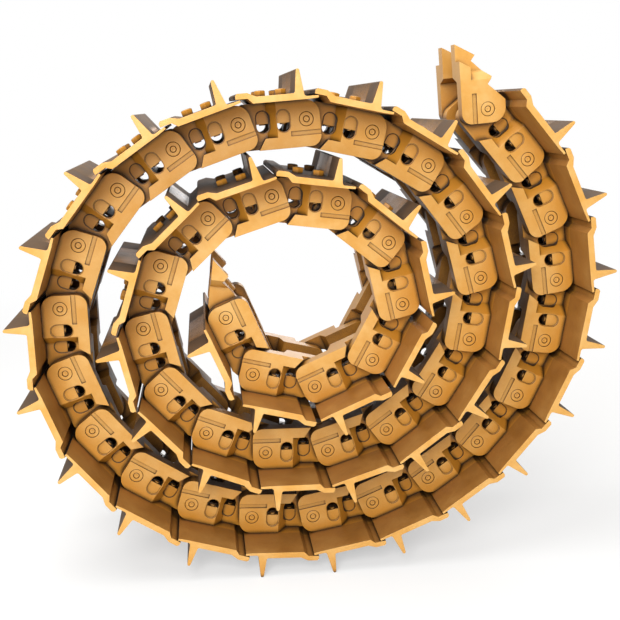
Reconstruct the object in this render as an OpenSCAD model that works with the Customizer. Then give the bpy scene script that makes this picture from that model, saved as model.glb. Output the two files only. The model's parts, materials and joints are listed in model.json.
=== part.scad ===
// Crawler track chain with single-grouser shoes, rolled up for storage.
// The chain is wound on a slightly oval spiral and stands on two grousers.
// Width is along Y. Sections are counted from the outer free end inwards.

/* [Chain] */
// Distance between joint centres
pitch = 216; // [200:1:232]
// Sections that carry a shoe
shoe_count = 42; // [36:1:42]
// Width over the pin ends
chain_w = 280; // [260:1:320]

/* [Links] */
// Thickness of a link strap across the chain
strap_t = 42; // [36:1:48]
// Running gap between overlapping link ends
side_gap = 2; // [1:0.5:4]
// Joint centre to the seat of the shoe
seat_h = 60; // [58:1:66]
// Joint centre to the running surface of the rail
rail_h = 86; // [78:1:96]
// Link beyond the joint centre at the pin end
pin_end_l = 44; // [40:1:50]
// Link beyond the joint centre at the bush end
bush_end_l = 48; // [44:1:54]
// Height of the rail head
rail_head_h = 36; // [28:1:40]
// Width of the nut windows
window_w = 40; // [38:1:44]
// Height of the nut windows
window_h = 68; // [64:1:76]

/* [Pins and bushes] */
// Diameter of the pins
pin_d = 46; // [40:1:50]
// Outer diameter of the bushes
bush_d = 72; // [66:1:78]
// How far a bush reaches into the counterbore of the next link
bush_reach = 10; // [6:1:14]
// Radial running clearance between pin and bush
running_gap = 0.06; // [0.03:0.01:0.1]
// Thickness of a seal ring
seal_t = 3.4; // [2:0.2:5]

/* [Shoes] */
// Width of a shoe
shoe_w = 560; // [500:10:700]
// Thickness of the shoe plate
plate_t = 20; // [14:1:24]
// Height of the grouser above the plate
grouser_h = 70; // [40:1:80]
// Thickness of the grouser at its tip
tip_t = 11; // [8:1:16]
// Shoe bolt diameter
bolt_d = 22; // [18:1:24]
// Width across the flats of the bolt heads
head_af = 34; // [30:1:38]

/* [Coil] */
// Radius of the spiral at the inner end
coil_inner_r = 218; // [215:1:280]
// Slack between the turns
turn_gap = 18; // [14:1:60]
// Share by which the coil is wider than round
coil_oval = 0.06; // [0:0.01:0.06]
// Angle of the long axis of the oval
oval_tilt = 13; // [-20:1:20]
// Direction of the inner free end, seen from the coil's centre
inner_end_angle = 182; // [150:1:220]
// Bend at the innermost joint
inner_end_bend = 30; // [10:1:40]
// How far the outer master link is folded back from a straight run
outer_end_fold = 36; // [0:1:45]
// Section that the coil stands on, together with the one before it
standing_section = 11; // [9:1:13]

/* [Hidden] */
$fn = 48;
eps = 0.5;
// Gap that keeps pressed and bolted pieces separate
fit_gap = 0.05;
// Gap of floating and resting pieces
rest_gap = 0.3;

// Link plan, near side: straps step from the pin line to the bush line
pin_outer_y = -chain_w / 2;
pin_inner_y = pin_outer_y + strap_t;
bush_outer_y = pin_inner_y + side_gap;
bush_inner_y = bush_outer_y + strap_t;
// Clear swing room of the neighbouring link ends, seen from each joint
swing_r = rail_h + 6;
outer_step_x = -pitch + swing_r;
inner_step_x = -swing_r;
inner_step_l = 16;

// Link side profile
pin_corner_r = 46;
rail_corner_r = 34;
bush_corner_r = 36;
ramp_l = 26;
rail_head_x = -pitch + 82;
rail_head_slope = 22;
rail_head_end = inner_step_x - side_gap;
groove_z = -rail_h + rail_head_h;
groove_w = 15;
groove_depth = 4;
groove_l = 52;

// Shoe bolts, nuts and windows
front_bolt_x = inner_step_x + 19;
rear_bolt_x = outer_step_x - 12;
front_bolt_y = (pin_outer_y + pin_inner_y) / 2;
rear_bolt_y = bush_outer_y + 18;
hole_gap = 1;
thread_gap = 0.1;
nut_h = window_w;
nut_top = window_h / 2 - rest_gap;
bolt_proud = 4;
spot_w = bolt_d + 4;
spot_depth = 4;
head_h = 17;
rim_w = 3;
rim_depth = 4;

// Pins, bushes, plugs and seals
pin_r = pin_d / 2;
bush_r = bush_d / 2;
pin_chamfer = 2.5;
plug_r = 10.5;
plug_depth = 8;
plug_recess = 1.5;
plug_dimple_r = 4;
bush_l = 2 * (-bush_outer_y + bush_reach);
bush_chamfer = 3;
counterbore_r = bush_r + 4;
counterbore_depth = bush_reach - side_gap + seal_t + 2 * rest_gap;
seal_r = bush_r - 1;
seal_bore_r = pin_r + 0.5;

// Shoe profile, along the chain from the section's own pin end
lip_lead = -6;
lip_gap = 1.5;
lip_start = -pitch + lip_lead;
lip_l = 36;
lip_ramp_l = 26;
lip_t = 17;
tail_l = 26;
tail_t = 7.5;
tail_relief = 1.5;
grouser_x = -31;
root_t = 28;
bolt_side_fillet_r = 6;
tail_side_fillet_r = 8;
plate_z = seat_h + fit_gap;
plate_top = plate_z + plate_t;
// The lip clears the tail of the shoe before it, which swings about the joint below
tail_top = plate_z + tail_relief + tail_t;
lip_rise = norm([tail_l, tail_top]) + lip_gap - plate_z;
tip_r = tip_t / 2;
tip_h = plate_top + grouser_h;
grouser_lean = atan2(root_t / 2 - tip_r, grouser_h - tip_r);
arc_steps = 6;

// Split link: saw-tooth parting, from the shoe side down to the rail side
parting = [
    [-pitch * 0.12, seat_h + eps],
    [-pitch * 0.36, 4],
    [-pitch * 0.47, 22],
    [-pitch * 0.72, -34],
    [-pitch * 0.80, -20],
    [-pitch * 0.98, -rail_h - eps]
];
parting_gap = 0.2;
link_bolt_d = 20;
thread_depth = 45;

// Coil: equal chords on an oval spiral, wound from the inner end outwards
joint_count = shoe_count + 1;
last_section = shoe_count + 2;
turn_step = rail_h + tip_h + turn_gap;
search_span = 120;
search_steps = 40;

function spiral(turn) =
    let (
        direction = inner_end_angle + turn,
        r = (coil_inner_r + turn_step * turn / 360) * (1 + coil_oval * cos(2 * (direction - oval_tilt)))
    )
    r * [cos(direction), sin(direction)];

function next_turn(turn, low, high, steps) =
    let (middle = (low + high) / 2)
    steps == 0 ? middle
    : norm(spiral(middle) - spiral(turn)) < pitch ? next_turn(turn, middle, high, steps - 1)
    : next_turn(turn, low, middle, steps - 1);

function winding(turn, left) =
    left == 0 ? [turn]
    : concat([turn], winding(next_turn(turn, turn, turn + search_span, search_steps), left - 1));

function turned(v, angle) =
    [v.x * cos(angle) - v.y * sin(angle), v.x * sin(angle) + v.y * cos(angle)];
function heading(v) = atan2(v.y, v.x);
function outward(v) = [-v.y, v.x];

// Joint centres from outside the outer end, 0, to past the inner end
turns = winding(0, joint_count);
wound = [for (i = [joint_count : -1 : 0]) spiral(turns[i])];
inner_run = turned(wound[joint_count] - wound[joint_count - 1], -inner_end_bend);
outer_run = turned(wound[2] - wound[1], -outer_end_fold);
raw_joints = concat(
    [wound[1] - outer_run],
    [for (i = [1 : joint_count]) wound[i]],
    [wound[joint_count] + inner_run]
);

function raw_tip(i) =
    let (run = (raw_joints[i] - raw_joints[i - 1]) / pitch)
    raw_joints[i] + grouser_x * run + (tip_h - tip_r) * outward(run);

// The coil is turned until two neighbouring grousers stand level
level = heading(raw_tip(standing_section - 1) - raw_tip(standing_section));
shoe_sections = [for (i = [2 : last_section - 1]) i];
level_tips = [for (i = shoe_sections) turned(raw_tip(i), -level)];
tip_xs = [for (p = level_tips) p.x];
tip_zs = [for (p = level_tips) p.y];
stand_at = [(min(tip_xs) + max(tip_xs)) / 2, min(tip_zs) - tip_r];
joints = [for (p = raw_joints) turned(p, -level) - stand_at];

function section_angle(i) = heading(joints[i] - joints[i - 1]);
function two_digits(i) = str(i < 10 ? "0" : "", i);
function section_name(i) = str("section_", two_digits(i));

// The second section is split into nodes of its own
split_section = 2;
section_range = [split_section + 1 : last_section - 1];

// Places a piece of section i in the coil
module at_section(i) {
    translate([joints[i].x, 0, joints[i].y])
        rotate([0, -section_angle(i), 0])
            children();
}

// A drawing of X and height, carried across the chain from y0 to y1
module across(y0, y1) {
    translate([0, y1, 0])
        rotate([90, 0, 0])
            linear_extrude(y1 - y0)
                children();
}

// A round bar or hole across the chain
module bar(r, y0, y1) {
    translate([0, y1, 0])
        rotate([90, 0, 0])
            cylinder(r = r, h = y1 - y0);
}

// Both sides of the chain
module mirrored_pair() {
    children();
    mirror([0, 1, 0])
        children();
}

// Outline of a link seen from the side
module link_outline() {
    shoulder = [pin_end_l - pin_corner_r, seat_h - pin_corner_r];
    rail_corner = [pin_end_l - rail_corner_r, -rail_h + rail_corner_r];
    bush_corner = [-pitch - bush_end_l + bush_corner_r, -rail_h + bush_corner_r];
    polygon([
        [-pitch + ramp_l, seat_h],
        [shoulder.x, seat_h],
        [pin_end_l, shoulder.y],
        [pin_end_l, rail_corner.y],
        [rail_corner.x, -rail_h],
        [bush_corner.x, -rail_h],
        [-pitch - bush_end_l, bush_corner.y],
        [-pitch - bush_end_l, 0],
        [-pitch, bush_end_l]
    ]);
    translate(shoulder)
        circle(pin_corner_r);
    translate(rail_corner)
        circle(rail_corner_r);
    translate(bush_corner)
        circle(bush_corner_r);
    translate([-pitch, 0])
        circle(bush_end_l);
}

// Outline of the near link seen from above, with a long slope on its outer face
module link_plan() {
    polygon([
        [pin_end_l + eps, pin_outer_y],
        [rail_head_end, pin_outer_y],
        [outer_step_x, bush_outer_y],
        [-pitch - bush_end_l - eps, bush_outer_y],
        [-pitch - bush_end_l - eps, bush_inner_y],
        [inner_step_x - inner_step_l, bush_inner_y],
        [inner_step_x, pin_inner_y],
        [pin_end_l + eps, pin_inner_y]
    ]);
}

// Head of the rail, which bridges the step in the strap
module rail_head() {
    across(pin_outer_y, bush_outer_y)
        polygon([
            [rail_head_x, -rail_h + rail_head_h],
            [rail_head_x - rail_head_slope, -rail_h],
            [rail_head_end, -rail_h],
            [rail_head_end, -rail_h + rail_head_h]
        ]);
}

// Forged body of the near link, before its windows and bolt holes
module link_blank() {
    difference() {
        union() {
            intersection() {
                across(pin_outer_y - eps, bush_inner_y + eps)
                    link_outline();
                translate([0, 0, -rail_h - eps])
                    linear_extrude(rail_h + seat_h + 2 * eps)
                        link_plan();
            }
            rail_head();
        }
        bar(pin_r + fit_gap, pin_outer_y - eps, pin_inner_y + eps);
        bar(counterbore_r, pin_inner_y - counterbore_depth, pin_inner_y + eps);
        translate([-pitch, 0, 0])
            bar(bush_r + fit_gap, bush_outer_y - eps, bush_inner_y + eps);
        translate([-groove_l, pin_outer_y - eps, groove_z])
            cube([groove_l + pin_end_l + eps, groove_depth + eps, groove_w]);
    }
}

// Slot with round ends, upright on the joint line
module obround(w, h) {
    square([w, h - w], center = true);
    for (end = [-1, 1])
        translate([0, end * (h - w) / 2])
            circle(w / 2);
}

// Window for a shoe nut, with a shallow rim on the outer face
module nut_window(outer_y) {
    across(pin_outer_y - eps, bush_inner_y + eps)
        obround(window_w, window_h);
    across(pin_outer_y - eps, outer_y + rim_depth)
        obround(window_w + 2 * rim_w, window_h + 2 * rim_w);
}

// Puts a piece at both bolt places of the near link
module at_bolts() {
    translate([front_bolt_x, front_bolt_y, 0])
        children();
    translate([rear_bolt_x, rear_bolt_y, 0])
        children();
}

module near_link() {
    color("goldenrod")
        difference() {
            link_blank();
            translate([front_bolt_x, 0, 0])
                nut_window(pin_outer_y);
            translate([rear_bolt_x, 0, 0])
                nut_window(bush_outer_y);
            at_bolts() {
                cylinder(d = bolt_d + 2 * hole_gap, h = seat_h + eps);
                translate([0, 0, window_h / 2 - spot_depth + hole_gap / 2])
                    cube([spot_w, spot_w, 2 * spot_depth], center = true);
            }
        }
}

module far_link() {
    mirror([0, 1, 0])
        near_link();
}

// Pin end with a chamfer, turned about the joint line
module pin() {
    half = chain_w / 2;
    color("goldenrod")
        difference() {
            rotate([90, 0, 0])
                rotate_extrude()
                    polygon([
                        [0, -half],
                        [pin_r - pin_chamfer, -half],
                        [pin_r, -half + pin_chamfer],
                        [pin_r, half - pin_chamfer],
                        [pin_r - pin_chamfer, half],
                        [0, half]
                    ]);
            mirrored_pair()
                bar(plug_r, -half - eps, -half + plug_depth);
        }
}

// Plugs that close the oil bore of the pin
module plugs() {
    half = chain_w / 2;
    color("saddlebrown")
        mirrored_pair()
            difference() {
                bar(plug_r - fit_gap, -half + plug_recess, -half + plug_depth - fit_gap);
                bar(plug_dimple_r, -half, -half + 2 * plug_recess);
            }
}

module bush() {
    half = bush_l / 2;
    bore_r = pin_r + running_gap;
    color("darkgoldenrod")
        translate([-pitch, 0, 0])
            rotate([90, 0, 0])
                rotate_extrude()
                    polygon([
                        [bore_r, -half],
                        [bush_r - bush_chamfer, -half],
                        [bush_r, -half + bush_chamfer],
                        [bush_r, half - bush_chamfer],
                        [bush_r - bush_chamfer, half],
                        [bore_r, half]
                    ]);
}

// Seal rings between the bush of the next section and the counterbores
module seals() {
    floor_y = pin_inner_y - counterbore_depth + rest_gap;
    color("dimgray")
        mirrored_pair()
            difference() {
                bar(seal_r, floor_y, floor_y + seal_t);
                bar(seal_bore_r, floor_y - eps, floor_y + seal_t + eps);
            }
}

// Points of an arc about a centre, from one angle to another
function arc(centre, r, from, to) =
    [for (k = [0 : arc_steps]) centre + r * turned([1, 0], from + (to - from) * k / arc_steps)];

// Fillet at the root of the grouser, on the side -1 or +1, from the wall down to a level
function root_fillet(side, r, level) =
    let (
        wall = 90 + side * grouser_lean,
        half_t = root_t / 2 + (plate_top - level) * tan(grouser_lean),
        reach = r / tan((90 + grouser_lean) / 2),
        centre = [grouser_x + side * (half_t + reach), level + r]
    )
    arc(centre, r, wall + side * 90, 270 - (side < 0 ? 360 : 0));

function reversed(points) = [for (k = [len(points) - 1 : -1 : 0]) points[k]];

// Shoe seen from the side: thin tail, tapered grouser with a round tip, raised lip
module shoe_outline() {
    lip_end = lip_start + lip_l;
    lip_bottom = plate_z + lip_rise;
    polygon(concat(
        [
            [0, plate_z],
            [tail_l, plate_z + tail_relief],
            [tail_l, tail_top]
        ],
        reversed(root_fillet(1, tail_side_fillet_r, tail_top)),
        arc([grouser_x, tip_h - tip_r], tip_r, 0, 180),
        root_fillet(-1, bolt_side_fillet_r, plate_top),
        [
            [lip_end + lip_ramp_l, plate_top],
            [lip_end, lip_bottom + lip_t],
            [lip_start + lip_t / 3, lip_bottom + lip_t],
            [lip_start, lip_bottom + lip_t * 2 / 3],
            [lip_start, lip_bottom],
            [lip_end, lip_bottom],
            [lip_end + lip_rise, plate_z]
        ]
    ));
}

module shoe() {
    color("goldenrod")
        difference() {
            across(-shoe_w / 2, shoe_w / 2)
                shoe_outline();
            mirrored_pair()
                at_bolts()
                    translate([0, 0, plate_z - eps])
                        cylinder(d = bolt_d + 2 * hole_gap, h = plate_t + 2 * eps);
        }
}

// Hexagon-headed shoe bolts
module bolts() {
    seat = plate_top + fit_gap;
    tip = nut_top - nut_h - bolt_proud;
    color("goldenrod")
        mirrored_pair()
            at_bolts() {
                translate([0, 0, seat])
                    rotate(30)
                        cylinder(d = head_af / cos(30), h = head_h, $fn = 6);
                translate([0, 0, tip])
                    cylinder(d = bolt_d, h = seat - tip + eps);
            }
}

// Nuts with a round back that seats in the end of the window and a flat for the thread
module nuts() {
    nut_r = window_w / 2 - rest_gap;
    nut_d = strap_t - 10;
    color("goldenrod")
        mirrored_pair()
            at_bolts()
                difference() {
                    across(-nut_d / 2, nut_d / 2) {
                        translate([0, nut_top - nut_r])
                            circle(nut_r);
                        translate([-nut_r, nut_top - nut_h])
                            square([2 * nut_r, nut_h - nut_r]);
                    }
                    translate([0, 0, nut_top - nut_h - eps])
                        cylinder(d = bolt_d + 2 * thread_gap, h = nut_h + 2 * eps);
                    translate([0, 0, nut_top])
                        cube([window_w, spot_w, 2 * spot_depth], center = true);
                }
}

// A whole section: separate pieces that move as one
module section() {
    near_link();
    far_link();
    bush();
    pin();
    plugs();
    seals();
    shoe();
    bolts();
    nuts();
}

// Region of the link on the rail side of the parting, moved by a gap
module parting_region(shift) {
    low = -2 * rail_h;
    far = pitch;
    points = [for (p = parting) [p.x, p.y + shift]];
    across(pin_outer_y - eps, bush_inner_y + eps)
        polygon(concat(
            [[parting[0].x, 2 * seat_h]],
            points,
            [[parting[len(parting) - 1].x, low], [far, low], [far, 2 * seat_h]]
        ));
}

// Half of the split link with the pin, tapped from the parting
module pin_half() {
    color("goldenrod")
        difference() {
            intersection() {
                link_blank();
                parting_region(-parting_gap);
            }
            at_bolts()
                translate([0, 0, -rail_h / 2 - thread_depth / 2])
                    cylinder(d = link_bolt_d, h = seat_h + rail_h);
        }
}

// Half of the split link with the bush, drilled through to the parting
module bush_half() {
    color("goldenrod")
        difference() {
            link_blank();
            parting_region(parting_gap);
            at_bolts()
                translate([0, 0, -rail_h])
                    cylinder(d = link_bolt_d + 2 * hole_gap, h = rail_h + seat_h + eps);
        }
}

// Outer free end
at_section(1) pin_half();  // master_near_pin_half
at_section(1) mirror([0, 1, 0]) pin_half();  // master_far_pin_half
at_section(1) pin();  // master_pin
at_section(1) plugs();  // master_plugs
at_section(1) seals();  // master_seals

// First section with a shoe
at_section(split_section) shoe();  // first_shoe
at_section(split_section) near_link();  // first_near_link
at_section(split_section) far_link();  // first_far_link
at_section(split_section) bush();  // first_bush
at_section(split_section) pin();  // first_pin
at_section(split_section) plugs();  // first_plugs
at_section(split_section) seals();  // first_seals
at_section(split_section) bolts();  // first_bolts
at_section(split_section) nuts();  // first_nuts

// The other sections with shoes
for (i = section_range)
    at_section(i) section();

// Inner free end
at_section(last_section) bush_half();  // master_near_bush_half
at_section(last_section) mirror([0, 1, 0]) bush_half();  // master_far_bush_half
at_section(last_section) bush();  // master_bush
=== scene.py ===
"""Looks of a rolled-up crawler track chain with single-grouser shoes.

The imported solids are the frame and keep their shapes. This script breaks their
sharp edges, paints them, adds the turned details of the pin ends and bolt heads,
and sets up the studio and the camera. Lengths are metres unless a name says mm.
"""

from __future__ import annotations

import json
import logging
import math
from dataclasses import dataclass
from enum import Enum
from typing import Any

import bpy
import numpy as np
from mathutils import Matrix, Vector

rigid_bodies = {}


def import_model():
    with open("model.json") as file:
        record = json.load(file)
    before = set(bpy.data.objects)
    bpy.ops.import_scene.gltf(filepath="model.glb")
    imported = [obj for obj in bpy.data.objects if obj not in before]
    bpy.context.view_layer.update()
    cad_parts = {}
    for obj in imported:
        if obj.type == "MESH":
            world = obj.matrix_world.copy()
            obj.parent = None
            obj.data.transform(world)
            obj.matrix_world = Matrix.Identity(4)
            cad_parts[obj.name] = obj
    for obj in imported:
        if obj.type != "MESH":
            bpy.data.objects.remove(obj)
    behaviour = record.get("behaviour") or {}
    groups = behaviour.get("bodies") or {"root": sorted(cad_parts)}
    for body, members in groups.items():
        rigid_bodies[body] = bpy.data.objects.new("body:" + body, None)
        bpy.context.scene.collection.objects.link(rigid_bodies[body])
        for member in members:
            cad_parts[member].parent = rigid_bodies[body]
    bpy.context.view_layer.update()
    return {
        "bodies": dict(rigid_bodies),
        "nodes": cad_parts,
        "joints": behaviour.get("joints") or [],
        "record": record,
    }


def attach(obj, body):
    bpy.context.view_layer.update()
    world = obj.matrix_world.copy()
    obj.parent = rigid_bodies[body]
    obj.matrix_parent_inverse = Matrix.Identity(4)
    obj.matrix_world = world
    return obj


LOG = logging.getLogger("track_chain")
MM = 0.001
PHOTO_SIDE_PX = 620
ACROSS = np.array([0.0, 1.0, 0.0])
WHITE = "#FFFFFF"

Faces = list[list[int]]


class Slot(Enum):
    """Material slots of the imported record."""

    PAINT = "gold_paint"
    RUBBER = "seal_rubber"


def linear(hex_colour: str) -> tuple[float, float, float, float]:
    """Turns an sRGB hex colour into linear RGBA, by the curve of the sRGB standard.

    Args:
        hex_colour: Six hex digits after a hash sign.

    Returns:
        Red, green, blue and an alpha of 1, in linear light.
    """
    digits = hex_colour.lstrip("#")
    srgb = np.array([int(digits[i : i + 2], 16) for i in (0, 2, 4)]) / 255
    light = np.where(srgb <= 0.04045, srgb / 12.92, ((srgb + 0.055) / 1.055) ** 2.4)
    return (*light.tolist(), 1.0)


def per_mm(size_mm: float) -> float:
    """Noise scale whose features are about size_mm across."""
    return 1 / (size_mm * MM)


def add_node(
    tree: bpy.types.NodeTree, kind: str, links: dict[Any, Any] | None = None, **settings: Any
) -> Any:
    """Adds a node to a tree.

    Args:
        tree: The node tree.
        kind: Blender's node type.
        links: Input socket name or number to a value, or to the output socket that feeds it.
        settings: Properties of the node.

    Returns:
        The new node.
    """
    node = tree.nodes.new(kind)
    for name, value in settings.items():
        setattr(node, name, value)
    for key, value in (links or {}).items():
        if isinstance(value, bpy.types.NodeSocket):
            tree.links.new(value, node.inputs[key])
        else:
            node.inputs[key].default_value = value
    return node


def empty_material(name: str) -> tuple[bpy.types.Material, bpy.types.NodeTree]:
    """Makes a node material with no nodes.

    Args:
        name: Name of the real material.

    Returns:
        The material and its node tree.
    """
    material = bpy.data.materials.new(name)
    material.use_nodes = True
    material.node_tree.nodes.clear()
    return material, material.node_tree


@dataclass(frozen=True)
class Ramp:
    """A value that changes evenly over a range of another one and is level beyond it."""

    start: float
    end: float
    at_start: float = 0.0
    at_end: float = 1.0

    def inputs(self, value: Any) -> dict[str, Any]:
        """Inputs of a map range node that follows this ramp.

        Args:
            value: Socket with the value that the ramp runs over.

        Returns:
            Socket names to values.
        """
        return {
            "Value": value,
            "From Min": self.start,
            "From Max": self.end,
            "To Min": self.at_start,
            "To Max": self.at_end,
        }


@dataclass(frozen=True)
class Spot:
    """Sockets that tell of a spot on a painted surface."""

    # Where it lies, and where its face looks
    at: Any
    normal: Any
    # Distance from the chain's mid plane
    from_middle: Any
    # 1 on a face that looks straight out to its own side of the chain, below 0 on one that looks in
    outlook: Any
    # 1 in the clear, 0 where other surfaces shut the spot in
    openness: Any
    # Noise that makes the coat uneven
    patches: Any


@dataclass(frozen=True)
class SprayedGoldPaint:
    """Ochre-gold machine enamel, sprayed from the sides onto the rolled-up chain.

    To the eye: satin, paler in patches, thin and brown on the inner flats of the shoes,
    a dark graze on their outer faces, with the grain of forged steel showing through.
    Painted shade: a deeper orange in recesses, dark brown on the chain's inside where
    other surfaces shut it in, and near black in crevices.
    """

    # Middle of the coil, which the shoes' outer faces look away from
    middle: tuple[float, float, float]
    on_shoes: bool = True
    full_coat: str = "#D39A45"
    pale_coat: str = "#DFB26B"
    # Painted shade: a deeper orange for recesses
    recess_shade_coat: str = "#C48429"
    thin_coat: str = "#8F5E29"
    grazed_coat: str = "#4C3823"
    # Painted shade: dark brown for the chain's inside
    inner_shade_colour: str = "#2B1B0D"
    # Painted shade: near black for crevices
    crevice_shade_colour: str = "#140C06"

    # Sizes of the coat's patches, the lumps of the forging and the paint's orange peel.
    # Orange peel is about 2 mm wide; it is drawn coarser so that it shows at all
    patch_mm: float = 80.0
    forging_mm: float = 26.0
    forging_depth_mm: float = 2.0
    forging_strength: float = 0.45
    peel_mm: float = 7.0
    peel_depth_mm: float = 0.4
    peel_strength: float = 0.3

    # How near a surface shuts a spot in: for the painted shade of recesses and of the chain's inside, for
    # the grousers that stand in the clear, and for the painted shade of crevices
    openness_reach_mm: float = 190.0
    crevice_mm: float = 16.0
    shelter_samples: int = 8

    # The shoes overhang the links from here outwards
    overhang_mm: float = 141.0
    overhang_blur_mm: float = 3.0

    # Shares of the layers, over the values of a spot
    pale_patches: Ramp = Ramp(0.38, 0.66, 0.0, 0.75)
    # Painted shade: the deeper orange comes in where other surfaces shut a spot in
    recess_shade_openness: Ramp = Ramp(0.5, 0.8, 1.0, 0.0)
    thin_on_links: float = 0.25
    thin_outlook: Ramp = Ramp(0.15, 0.6, 1.0, 0.0)
    thin_patches: Ramp = Ramp(0.3, 0.7, 1.0, 0.72)
    clear_openness: Ramp = Ramp(0.48, 0.6)
    clear_lift: float = 0.8
    grazed_outwards: Ramp = Ramp(0.3, 0.6)
    grazed_outlook: Ramp = Ramp(0.2, 0.6, 1.0, 0.0)
    grazed_patches: Ramp = Ramp(0.3, 0.7, 1.0, 0.86)
    # Painted shade of the chain's inside: dark brown where other surfaces shut a spot in and its face
    # doesn't look outwards
    inner_shade_openness: Ramp = Ramp(0.18, 0.52, 0.94, 0.0)
    inner_shade_outlook: Ramp = Ramp(0.2, 0.5, 1.0, 0.0)
    # Painted shade in crevices: near black where near surfaces shut a spot in
    crevice_shade_openness: Ramp = Ramp(0.48, 0.95, 0.95, 0.0)

    # Dry patches are rougher, and a graze is duller still
    roughness: Ramp = Ramp(0.3, 0.7, 0.36, 0.52)
    graze_dullness: float = 0.42

    def material(self) -> bpy.types.Material:
        """Builds the paint, layer over layer.

        Returns:
            The finished material.
        """
        name = "sprayed_gold_enamel" if self.on_shoes else "sprayed_gold_enamel_on_links"
        material, tree = empty_material(name)
        spot = self._spot(tree)
        grazed = self._grazed_share(tree, spot) if self.on_shoes else 0.0
        # Painted shade: dark brown on the chain's inside, where it is shut in and doesn't look outwards
        inner_shade_share = self._share(tree, (self.inner_shade_openness, spot.openness), (self.inner_shade_outlook, spot.outlook))
        crevice = self._openness(tree, self.crevice_mm)
        layers = (
            (self._share(tree, (self.pale_patches, spot.patches)), self.pale_coat),
            # Painted shade in recesses
            (self._share(tree, (self.recess_shade_openness, spot.openness)), self.recess_shade_coat),
            (self._thin_share(tree, spot), self.thin_coat),
            (grazed, self.grazed_coat),
            (inner_shade_share, self.inner_shade_colour),
            # Painted shade in crevices
            (self._share(tree, (self.crevice_shade_openness, crevice)), self.crevice_shade_colour),
        )
        colour: Any = linear(self.full_coat)
        for share, layer in layers:
            mixed = {0: share, 6: colour, 7: linear(layer)}
            colour = add_node(tree, "ShaderNodeMix", mixed, data_type="RGBA").outputs[2]
        shader = add_node(
            tree,
            "ShaderNodeBsdfPrincipled",
            {
                "Base Color": colour,
                "Roughness": self._roughness(tree, spot, grazed),
                "Normal": self._relief(tree, spot),
                "IOR": 1.5,
            },
        )
        add_node(tree, "ShaderNodeOutputMaterial", {"Surface": shader.outputs[0]})
        return material

    def _spot(self, tree: bpy.types.NodeTree) -> Spot:
        """Reads where a spot lies, how it faces and how shut in it is.

        Its outlook is the sideways part of the normal times the sign of the distance from
        the mid plane.

        Args:
            tree: The paint's node tree.

        Returns:
            The sockets with these values.
        """
        place = add_node(tree, "ShaderNodeTexCoord")
        at, normal = place.outputs["Object"], place.outputs["Normal"]
        sideways = add_node(tree, "ShaderNodeSeparateXYZ", {0: at}).outputs["Y"]
        facing = add_node(tree, "ShaderNodeSeparateXYZ", {0: normal}).outputs["Y"]
        side = add_node(tree, "ShaderNodeMath", {0: sideways}, operation="SIGN")
        patches = add_node(
            tree,
            "ShaderNodeTexNoise",
            {"Vector": at, "Scale": per_mm(self.patch_mm), "Detail": 5.0, "Roughness": 0.6},
        )
        return Spot(
            at=at,
            normal=normal,
            from_middle=add_node(tree, "ShaderNodeMath", {0: sideways}, operation="ABSOLUTE").outputs[0],
            outlook=add_node(
                tree, "ShaderNodeMath", {0: facing, 1: side.outputs[0]}, operation="MULTIPLY"
            ).outputs[0],
            openness=self._openness(tree, self.openness_reach_mm),
            patches=patches.outputs["Fac"],
        )

    def _openness(self, tree: bpy.types.NodeTree, reach_mm: float) -> Any:
        """Tells how open a spot is.

        Args:
            tree: The paint's node tree.
            reach_mm: How far off a surface may be and still shut the spot in.

        Returns:
            The socket, 1 in the clear and 0 where other surfaces shut the spot in.
        """
        shelter = add_node(
            tree, "ShaderNodeAmbientOcclusion", {"Distance": reach_mm * MM}, samples=self.shelter_samples
        )
        return shelter.outputs["AO"]

    def _share(self, tree: bpy.types.NodeTree, *parts: tuple[Ramp, Any]) -> Any:
        """Share of a layer: the product of ramps that each run over a value of their own.

        Args:
            tree: The paint's node tree.
            parts: Each ramp with the socket of its value.

        Returns:
            The socket with the share.
        """
        ramps = [add_node(tree, "ShaderNodeMapRange", ramp.inputs(value)) for ramp, value in parts]
        share = ramps[0].outputs[0]
        for ramp in ramps[1:]:
            factors = {0: share, 1: ramp.outputs[0]}
            share = add_node(tree, "ShaderNodeMath", factors, operation="MULTIPLY").outputs[0]
        return share

    def _thin_share(self, tree: bpy.types.NodeTree, spot: Spot) -> Any:
        """Share of thin coat: 1 on faces of the shoe overhang that don't look sideways.

        Args:
            tree: The paint's node tree.
            spot: Sockets that tell of the spot.

        Returns:
            The socket with the share.
        """
        overhang = Ramp(
            (self.overhang_mm - self.overhang_blur_mm) * MM,
            (self.overhang_mm + self.overhang_blur_mm) * MM,
            self.thin_on_links,
        )
        return self._share(
            tree,
            (overhang, spot.from_middle),
            (self.thin_outlook, spot.outlook),
            (self.thin_patches, spot.patches),
        )

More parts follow.
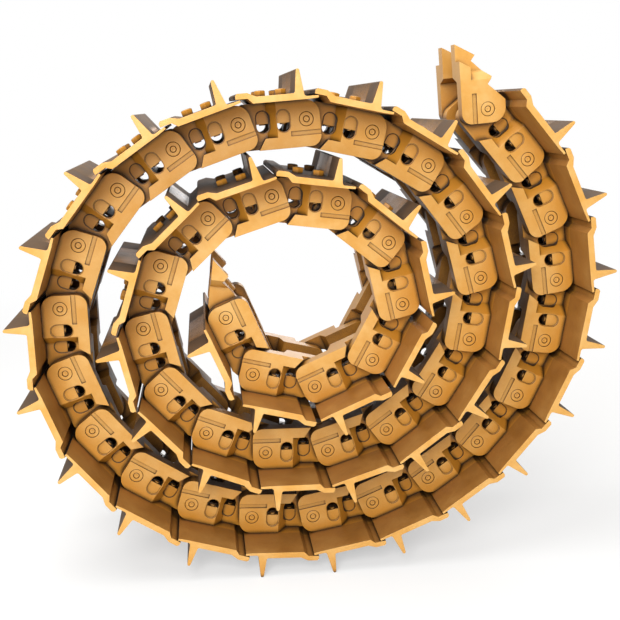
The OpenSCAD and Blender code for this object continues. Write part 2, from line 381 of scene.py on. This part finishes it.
    def _grazed_share(self, tree: bpy.types.NodeTree, spot: Spot) -> Any:
        """Share of the dark graze: 1 on faces of the shoes that look away from the coil's middle.

        The face's normal times the direction from the middle gives how far it looks outwards. On
        the shoe overhang and the grousers, which stand in the clear, a face that looks along the
        chain counts too.

        Args:
            tree: The paint's node tree.
            spot: Sockets that tell of the spot.

        Returns:
            The socket with the share.
        """
        overhang = add_node(
            tree,
            "ShaderNodeMath",
            {0: spot.from_middle, 1: self.overhang_mm * MM},
            operation="GREATER_THAN",
        )
        clear = self._share(tree, (self.clear_openness, spot.openness))
        stands_out = add_node(
            tree, "ShaderNodeMath", {0: overhang.outputs[0], 1: clear}, operation="MAXIMUM"
        )
        apart = add_node(tree, "ShaderNodeVectorMath", {0: spot.at, 1: self.middle}, operation="SUBTRACT")
        in_plane = add_node(
            tree, "ShaderNodeVectorMath", {0: apart.outputs[0], 1: tuple(1 - ACROSS)}, operation="MULTIPLY"
        )
        radial = add_node(tree, "ShaderNodeVectorMath", {0: in_plane.outputs[0]}, operation="NORMALIZE")
        outwards = add_node(
            tree, "ShaderNodeVectorMath", {0: spot.normal, 1: radial.outputs[0]}, operation="DOT_PRODUCT"
        )
        lifted = add_node(
            tree,
            "ShaderNodeMath",
            {0: stands_out.outputs[0], 1: self.clear_lift, 2: outwards.outputs["Value"]},
            operation="MULTIPLY_ADD",
        )
        return self._share(
            tree,
            (self.grazed_outwards, lifted.outputs[0]),
            (self.grazed_outlook, spot.outlook),
            (self.grazed_patches, spot.patches),
        )

    def _roughness(self, tree: bpy.types.NodeTree, spot: Spot, grazed: Any) -> Any:
        """Roughness that rises a little where the coat is dry, and more on a graze.

        Args:
            tree: The paint's node tree.
            spot: Sockets that tell of the spot.
            grazed: Share of the dark graze.

        Returns:
            The socket with the roughness.
        """
        dry = self._share(tree, (self.roughness, spot.patches))
        dull = add_node(
            tree, "ShaderNodeMath", {0: grazed, 1: self.graze_dullness, 2: dry}, operation="MULTIPLY_ADD"
        )
        return dull.outputs[0]

    def _relief(self, tree: bpy.types.NodeTree, spot: Spot) -> Any:
        """Bump of the paint's orange peel over the rolling lumps of the forging.

        Args:
            tree: The paint's node tree.
            spot: Sockets that tell of the spot.

        Returns:
            The socket with the bumped normal.
        """
        lumps = add_node(
            tree, "ShaderNodeTexNoise", {"Vector": spot.at, "Scale": per_mm(self.forging_mm), "Detail": 2.0}
        )
        rolling = add_node(
            tree,
            "ShaderNodeBump",
            {
                "Height": lumps.outputs["Fac"],
                "Strength": self.forging_strength,
                "Distance": self.forging_depth_mm * MM,
            },
        )
        peel = add_node(
            tree, "ShaderNodeTexNoise", {"Vector": spot.at, "Scale": per_mm(self.peel_mm), "Detail": 3.0}
        )
        skin = add_node(
            tree,
            "ShaderNodeBump",
            {
                "Height": peel.outputs["Fac"],
                "Strength": self.peel_strength,
                "Distance": self.peel_depth_mm * MM,
                "Normal": rolling.outputs[0],
            },
        )
        return skin.outputs[0]


@dataclass(frozen=True)
class MouldedSealRubber:
    """Black nitrile rubber, moulded: dull, with a faint mould grain."""

    colour: str = "#171615"
    roughness: float = 0.62
    grain_mm: float = 2.0
    grain_depth_mm: float = 0.2
    grain_strength: float = 0.2

    def material(self) -> bpy.types.Material:
        """Builds the rubber.

        Returns:
            The finished material.
        """
        material, tree = empty_material("moulded_nitrile_rubber")
        place = add_node(tree, "ShaderNodeTexCoord")
        grain = add_node(
            tree, "ShaderNodeTexNoise", {"Vector": place.outputs["Object"], "Scale": per_mm(self.grain_mm)}
        )
        bump = add_node(
            tree,
            "ShaderNodeBump",
            {
                "Height": grain.outputs["Fac"],
                "Strength": self.grain_strength,
                "Distance": self.grain_depth_mm * MM,
            },
        )
        shader = add_node(
            tree,
            "ShaderNodeBsdfPrincipled",
            {
                "Base Color": linear(self.colour),
                "Roughness": self.roughness,
                "Normal": bump.outputs[0],
                "IOR": 1.52,
            },
        )
        add_node(tree, "ShaderNodeOutputMaterial", {"Surface": shader.outputs[0]})
        return material


@dataclass(frozen=True)
class EdgeBreak:
    """Rounding of the edges that forging, rolling and paint leave on a solid."""

    width_mm: float = 0.8
    segments: int = 2
    least_angle_deg: float = 32.0
    weld_mm: float = 0.01
    # How far large faces rule the shading of the edges beside them
    flat_weight: int = 60

    def dress(self, node: bpy.types.Object) -> None:
        """Adds the modifiers that round a solid's edges.

        Args:
            node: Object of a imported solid, whose mesh stays as it is.
        """
        weld = node.modifiers.new("join_facets", "WELD")
        weld.merge_threshold = self.weld_mm * MM
        bevel = node.modifiers.new("broken_edges", "BEVEL")
        bevel.width = self.width_mm * MM
        bevel.segments = self.segments
        bevel.limit_method = "ANGLE"
        bevel.angle_limit = math.radians(self.least_angle_deg)
        bevel.use_clamp_overlap = False
        # Even widths: sliding along the edges between a flat's triangles would leave spikes
        bevel.loop_slide = False
        bevel.miter_outer = "MITER_SHARP"
        normals = node.modifiers.new("even_shading", "WEIGHTED_NORMAL")
        normals.weight = self.flat_weight
        normals.keep_sharp = False


def turned_surface(profile: np.ndarray, sides: int) -> tuple[np.ndarray, Faces]:
    """Closed solid of revolution about the third axis.

    Each ring is radius x (cos, sin) of evenly spaced angles at the profile's height.
    The first and last profile points are poles on the axis, closed by fans of triangles.

    Args:
        profile: Radius and height from the upper pole to the lower one, one row a ring.
        sides: Points in a ring.

    Returns:
        Points, one row each, and faces as lists of point numbers.
    """
    angle = np.linspace(0, 2 * np.pi, sides, endpoint=False)
    radius, height = profile[1:-1, :1], profile[1:-1, 1:]
    rings = np.stack([radius * np.cos(angle), radius * np.sin(angle), height + 0 * angle], axis=-1)
    poles = np.array([[0, 0, profile[0, 1]], [0, 0, profile[-1, 1]]])
    points = np.concatenate([rings.reshape(-1, 3), poles])
    number = np.arange(rings[..., 0].size).reshape(-1, sides)
    ahead = np.roll(number, -1, axis=1)
    quads = np.stack([number[:-1], number[1:], ahead[1:], ahead[:-1]], axis=-1).reshape(-1, 4)
    upper, lower = np.full(sides, number.size), np.full(sides, number.size + 1)
    top = np.stack([upper, number[0], ahead[0]], axis=-1)
    bottom = np.stack([lower, ahead[-1], number[-1]], axis=-1)
    return points, quads.tolist() + top.tolist() + bottom.tolist()


@dataclass(frozen=True)
class SectionPlace:
    """Where a section stands: its pin centre, and the directions along the chain and out of the coil."""

    body: str
    has_shoe: bool
    pin: np.ndarray
    along: np.ndarray
    outward: np.ndarray

    def point(self, along_mm: float, across_mm: float, outward_mm: float) -> np.ndarray:
        """A point of the section, given in millimetres from its pin centre."""
        return self.pin + MM * (along_mm * self.along + across_mm * ACROSS + outward_mm * self.outward)


@dataclass(frozen=True)
class TurnedDetails:
    """Small turned forms of a section: crowns of the shoe bolts and beads on the pin plugs."""

    paint: bpy.types.Material
    sides: int = 18
    # Bolt places along and across the chain, on each side of its middle
    bolt_places_mm: tuple[tuple[float, float], ...] = ((-73.0, 119.0), (-136.0, 78.0))
    head_top_mm: float = 97.1
    crown_r_mm: float = 16.6
    crown_h_mm: float = 2.2
    plug_r_mm: float = 10.0
    plug_face_mm: float = 138.5
    bead_h_mm: float = 1.2

    def crown_profile(self) -> np.ndarray:
        """Profile of a bolt's crown: a low dome with a chamfered rim, sunk a little into the head.

        Returns:
            Radius and height in millimetres, one row a ring.
        """
        r, h = self.crown_r_mm, self.crown_h_mm
        dome = [[0, h], [0.45 * r, 0.95 * h], [0.8 * r, 0.7 * h]]
        rim = [[r, 0], [r, -h / 2], [0, -h / 2]]
        return np.array(dome + rim)

    def bead_profile(self) -> np.ndarray:
        """Profile of the bead on a pin plug: a low ring with a dished middle.

        Returns:
            Radius and height in millimetres, one row a ring.
        """
        r, h = self.plug_r_mm, self.bead_h_mm
        dish = [[0, 0.2 * h], [0.3 * r, 0.3 * h]]
        ring = [[0.5 * r, h], [0.75 * r, h], [r, 0], [0, -h]]
        return np.array(dish + ring)

    def build(self, place: SectionPlace) -> bpy.types.Object:
        """Makes the turned details of one section.

        Args:
            place: Where the section stands.

        Returns:
            The piece, which rides on the section's body.
        """
        crown = turned_surface(self.crown_profile() * MM, self.sides)
        bead = turned_surface(self.bead_profile() * MM, self.sides)
        spots = []
        for side in (-1, 1):
            face = side * self.plug_face_mm
            spots.append((bead, place.point(0, face, 0), place.along, side * ACROSS))
            for along, across in self.bolt_places_mm if place.has_shoe else ():
                top = place.point(along, side * across, self.head_top_mm)
                spots.append((crown, top, place.along, place.outward))
        points, faces, first = [], [], 0
        for (shape, shape_faces), centre, along, axis in spots:
            basis = np.array([along, np.cross(axis, along), axis])
            points.append(centre + shape @ basis)
            faces += [[first + corner for corner in face] for face in shape_faces]
            first += len(shape)
        return self._piece(place, np.concatenate(points), faces)

    def _piece(self, place: SectionPlace, points: np.ndarray, faces: Faces) -> bpy.types.Object:
        """Puts points and faces into a smooth painted mesh on a body.

        Args:
            place: Where the section stands.
            points: One row a point.
            faces: Lists of point numbers.

        Returns:
            The finished piece.
        """
        name = f"turned_details_{place.body}"
        mesh = bpy.data.meshes.new(name)
        mesh.from_pydata(points.tolist(), [], faces)
        mesh.polygons.foreach_set("use_smooth", np.ones(len(mesh.polygons), bool))
        mesh.materials.append(self.paint)
        piece = bpy.data.objects.new(name, mesh)
        bpy.context.scene.collection.objects.link(piece)
        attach(piece, place.body)
        return piece


@dataclass
class TrackChain:
    """The whole chain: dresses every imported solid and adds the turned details."""

    frame: dict[str, Any]
    paint: bpy.types.Material
    link_paint: bpy.types.Material
    rubber: bpy.types.Material
    edges: EdgeBreak = EdgeBreak()
    # The first section's shoe and bolts are nodes of their own; every other section is one node
    first_shoe_nodes: tuple[str, ...] = ("first_shoe", "first_bolts")

    def section_places(self) -> list[SectionPlace]:
        """Works out where each section with a pin stands, from the hinges.

        A section runs from the hinge before it to its own. The outer master half comes first:
        it has no hinge before it and takes the direction of the next section, number 2.

        Returns:
            The places, from the outer free end inwards.
        """
        hinges = {joint["name"]: joint["pos_m"] for joint in self.frame["record"]["behaviour"]["joints"]}
        pins = np.array([hinges[name] for name in sorted(hinges)])
        runs = np.diff(pins, axis=0, prepend=2 * pins[:1] - pins[1:2])
        along = runs / np.linalg.norm(runs, axis=1, keepdims=True)
        outward = np.cross(along, ACROSS)
        bodies = ["outer_master"] + [f"section_{i:02d}" for i in range(2, len(pins) + 1)]
        return [
            SectionPlace(body, body.startswith("section"), *rows)
            for body, *rows in zip(bodies, pins, along, outward)
        ]

    def dress(self) -> None:
        """Rounds the edges of every painted solid, gives every solid its finish and adds the turned
        details.
        """
        details = TurnedDetails(self.paint)
        for place in self.section_places():
            LOG.info("added %s", details.build(place).name)
        slots = {row["node"]: Slot(row["material_slot"]) for row in self.frame["record"]["subparts"]}
        for name, node in self.frame["nodes"].items():
            finish = self.finish(name, slots[name])
            node.data.materials.clear()
            node.data.materials.append(finish)
            if slots[name] is Slot.PAINT:
                self.edges.dress(node)
            LOG.info("dressed %s in %s", name, finish.name)

    def finish(self, name: str, slot: Slot) -> bpy.types.Material:
        """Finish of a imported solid: rubber for seals, and the links' paint where it has no shoe.

        Args:
            name: Name of the solid's node.
            slot: Its material slot.

        Returns:
            The material.
        """
        if slot is Slot.RUBBER:
            return self.rubber
        has_shoe = name.startswith("section") or name in self.first_shoe_nodes
        return self.paint if has_shoe else self.link_paint


@dataclass(frozen=True)
class Softbox:
    """Square lamp: where it stands, the length of its side and its power."""

    name: str
    place: tuple[float, float, float]
    side: float
    watts: float

    def build(self, aim: Vector) -> None:
        """Makes the lamp.

        Args:
            aim: Point that it faces.
        """
        data = bpy.data.lights.new(self.name, "AREA")
        data.size = self.side
        data.energy = self.watts
        lamp = bpy.data.objects.new(self.name, data)
        lamp.location = self.place
        lamp.rotation_euler = (aim - Vector(self.place)).to_track_quat("-Z", "Y").to_euler()
        bpy.context.scene.collection.objects.link(lamp)


@dataclass(frozen=True)
class Studio:
    """Pale floor, white surroundings and soft lamps in front of, above and behind the chain."""

    lamps: tuple[Softbox, ...] = (
        Softbox("front_softbox", place=(-1.3, -4.2, 3.2), side=2.4, watts=212.0),
        Softbox("top_softbox", place=(-1.2, -0.6, 4.6), side=3.0, watts=125.0),
        Softbox("back_softbox", place=(1.5, 4.5, 3.0), side=3.0, watts=115.0),
    )
    lamp_aim: tuple[float, float, float] = (0.0, 0.0, 0.8)
    floor_side: float = 80.0
    floor_colour: str = "#F6F5F3"
    # The floor keeps the chain's shadow near it and fades to plain white farther out
    floor_whiteness: Ramp = Ramp(1.6, 5.0, 0.5, 1.0)
    sky_strength: float = 0.38

    def build(self) -> None:
        """Makes the floor, the lamps and the white surroundings."""
        self._floor()
        self._sky()
        for lamp in self.lamps:
            lamp.build(Vector(self.lamp_aim))

    def _floor(self) -> None:
        """Makes the floor, which shows near white but keeps the chain's shadow."""
        half = self.floor_side / 2
        corners = np.array([[-1, -1, 0], [1, -1, 0], [1, 1, 0], [-1, 1, 0]]) * half
        mesh = bpy.data.meshes.new("studio_floor")
        mesh.from_pydata(corners.tolist(), [], [(0, 1, 2, 3)])
        floor = bpy.data.objects.new("studio_floor", mesh)
        bpy.context.scene.collection.objects.link(floor)
        material, tree = empty_material("matt_white_floor")
        matt = add_node(tree, "ShaderNodeBsdfDiffuse", {"Color": linear(self.floor_colour)})
        white = add_node(tree, "ShaderNodeEmission", {"Color": linear(WHITE), "Strength": 1.0})
        place = add_node(tree, "ShaderNodeTexCoord")
        distance = add_node(tree, "ShaderNodeVectorMath", {0: place.outputs["Object"]}, operation="LENGTH")
        fade = add_node(
            tree,
            "ShaderNodeMapRange",
            self.floor_whiteness.inputs(distance.outputs["Value"]),
            interpolation_type="SMOOTHSTEP",
        )
        share = add_node(
            tree, "ShaderNodeMath", {0: self._seen(tree), 1: fade.outputs[0]}, operation="MULTIPLY"
        )
        mixed = add_node(
            tree, "ShaderNodeMixShader", {0: share.outputs[0], 1: matt.outputs[0], 2: white.outputs[0]}
        )
        add_node(tree, "ShaderNodeOutputMaterial", {"Surface": mixed.outputs[0]})
        mesh.materials.append(material)

    def _seen(self, tree: bpy.types.NodeTree) -> Any:
        """Tells where the surroundings are looked at, and don't light anything.

        Args:
            tree: Node tree of the floor or the sky.

        Returns:
            The socket that is 1 for the camera, for reflections and for what shows through glass.
        """
        path = add_node(tree, "ShaderNodeLightPath")
        rays = [path.outputs[name] for name in ("Is Camera Ray", "Is Glossy Ray", "Is Transmission Ray")]
        either = add_node(tree, "ShaderNodeMath", {0: rays[0], 1: rays[1]}, operation="MAXIMUM")
        seen = add_node(tree, "ShaderNodeMath", {0: either.outputs[0], 1: rays[2]}, operation="MAXIMUM")
        return seen.outputs[0]

    def _sky(self) -> None:
        """Makes the surroundings: white to the camera and in reflections, soft as a light."""
        world = bpy.data.worlds.new("white_studio")
        world.use_nodes = True
        tree = world.node_tree
        tree.nodes.clear()
        soft, plain = [
            add_node(tree, "ShaderNodeBackground", {"Color": linear(WHITE), "Strength": strength})
            for strength in (self.sky_strength, 1.0)
        ]
        mixed = add_node(
            tree, "ShaderNodeMixShader", {0: self._seen(tree), 1: soft.outputs[0], 2: plain.outputs[0]}
        )
        add_node(tree, "ShaderNodeOutputWorld", {"Surface": mixed.outputs[0]})
        bpy.context.scene.world = world


@dataclass(frozen=True)
class PhotoCamera:
    """The photograph's camera, solved from the pin ends that show in it."""

    place: tuple[float, float, float] = (-0.362, -2.865, 1.543)
    yaw_deg: float = 7.18
    pitch_deg: float = -13.37
    focal_px: float = 850.0
    sensor_mm: float = 36.0

    def build(self) -> None:
        """Makes the camera and hands it to the scene."""
        yaw = math.radians(self.yaw_deg)
        pitch = math.radians(self.pitch_deg)
        level = math.cos(pitch)
        ahead = Vector((math.sin(yaw) * level, math.cos(yaw) * level, math.sin(pitch)))
        data = bpy.data.cameras.new("photo_camera")
        data.sensor_width = self.sensor_mm
        data.lens = self.focal_px / PHOTO_SIDE_PX * self.sensor_mm
        camera = bpy.data.objects.new("photo_camera", data)
        camera.location = self.place
        camera.rotation_euler = ahead.to_track_quat("-Z", "Y").to_euler()
        bpy.context.scene.collection.objects.link(camera)
        bpy.context.scene.camera = camera


def main() -> None:
    """Builds the dressed chain, the studio and the camera."""
    logging.basicConfig(level=logging.INFO, format="%(name)s: %(message)s")
    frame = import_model()
    bpy.context.scene.view_settings.view_transform = "Standard"
    PhotoCamera().build()
    Studio().build()
    openings = {opening["name"]: opening["box_m"] for opening in frame["record"]["physics"]["openings"]}
    middle = tuple(np.mean(openings["coil_eye"], axis=0).tolist())
    paint = SprayedGoldPaint(middle).material()
    link_paint = SprayedGoldPaint(middle, on_shoes=False).material()
    TrackChain(frame, paint, link_paint, MouldedSealRubber().material()).dress()


if __name__ == "__main__":
    main()
